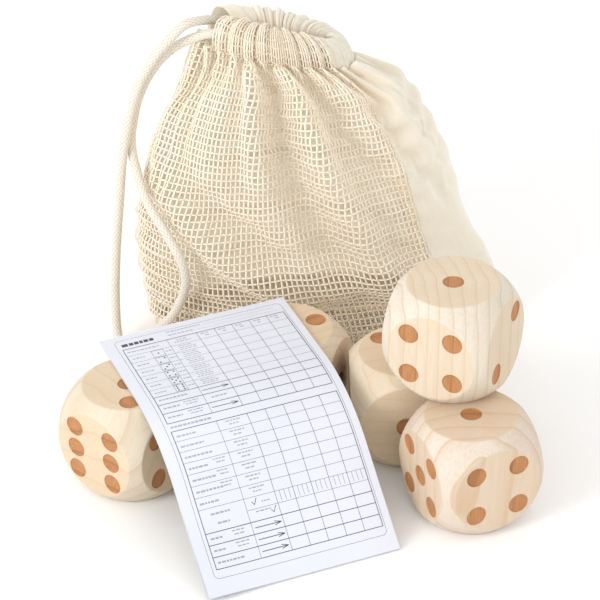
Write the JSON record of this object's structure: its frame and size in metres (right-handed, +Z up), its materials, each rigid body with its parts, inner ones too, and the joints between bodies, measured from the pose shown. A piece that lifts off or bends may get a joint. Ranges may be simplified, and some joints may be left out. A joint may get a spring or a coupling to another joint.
{
  "type": "giant yard dice set",
  "caption": "Giant rounded pine dice with browned pips, stacked beside a net and canvas drawstring bag, with a pad of score sheets leaning on them.",
  "frame": {"origin": "on the ground, under the middle of the set's outline (without the free cord)", "axes": "+Z up, +Y from the pad's lower edge towards the bag, +X to the right as seen from the front"},
  "size_m": [0.343, 0.421, 0.2693],
  "materials": {
    "pine": "sanded raw pine, pips browned by heat",
    "cotton_net": "unbleached cotton mesh of square cells",
    "cotton_canvas": "unbleached plain-weave cotton canvas",
    "cotton_cord": "round braided cotton cord",
    "satin_label": "woven satin, blank",
    "paper": "uncoated white paper with a thin printed table",
    "card": "grey-white backing card",
    "glue": "white padding glue"
  },
  "bodies": {
    "bag": {"net_front_panel": "cotton_net", "canvas_back_panel": "cotton_canvas", "net_casing": "cotton_net", "canvas_casing": "cotton_canvas", "left_side_seam": "cotton_canvas", "right_side_seam": "cotton_canvas", "bottom_seam": "cotton_canvas", "care_label": "satin_label", "drawcord_in_casing": "cotton_cord", "drawcord_back_strand": "cotton_cord", "drawcord_front_strand": "cotton_cord", "drawcord_knot": "cotton_cord", "drawcord_tails": "cotton_cord"},
    "die_left": {"die_left": "pine"},
    "die_middle": {"die_middle": "pine"},
    "die_rear": {"die_rear": "pine"},
    "die_front": {"die_front": "pine"},
    "die_top": {"die_top": "pine"},
    "score_pad": {"pad_backing_card": "card", "pad_sheet_stack": "paper", "pad_glue_edge": "glue"},
    "top_sheet": {"pad_top_sheet": "paper"}
  },
  "joints": [
    {"name": "die_left_take_away", "type": "slide", "parent": "bag", "child": "die_left", "axis": [-1, 0, 0], "range_m": [0, 0.2]},
    {"name": "die_front_take_away", "type": "slide", "parent": "bag", "child": "die_front", "axis": [0.7071, -0.7071, 0], "range_m": [0, 0.2]},
    {"name": "die_rear_lift", "type": "slide", "parent": "bag", "child": "die_rear", "axis": [0, 0, 1], "range_m": [0, 0.2]},
    {"name": "die_top_lift", "type": "slide", "parent": "die_rear", "child": "die_top", "axis": [0, 0, 1], "range_m": [0, 0.2]},
    {"name": "die_middle_lift", "type": "slide", "parent": "bag", "child": "die_middle", "axis": [0, 0, 1], "range_m": [0, 0.2]},
    {"name": "score_pad_lift", "type": "slide", "parent": "die_middle", "child": "score_pad", "axis": [0, 0, 1], "range_m": [0, 0.15]},
    {"name": "top_sheet_peel", "type": "hinge", "parent": "score_pad", "child": "top_sheet", "pos_m": [-0.142, -0.008, 0.0821], "axis": [-0.9336, -0.3584, 0], "range_deg": [0, 75]}
  ]
}
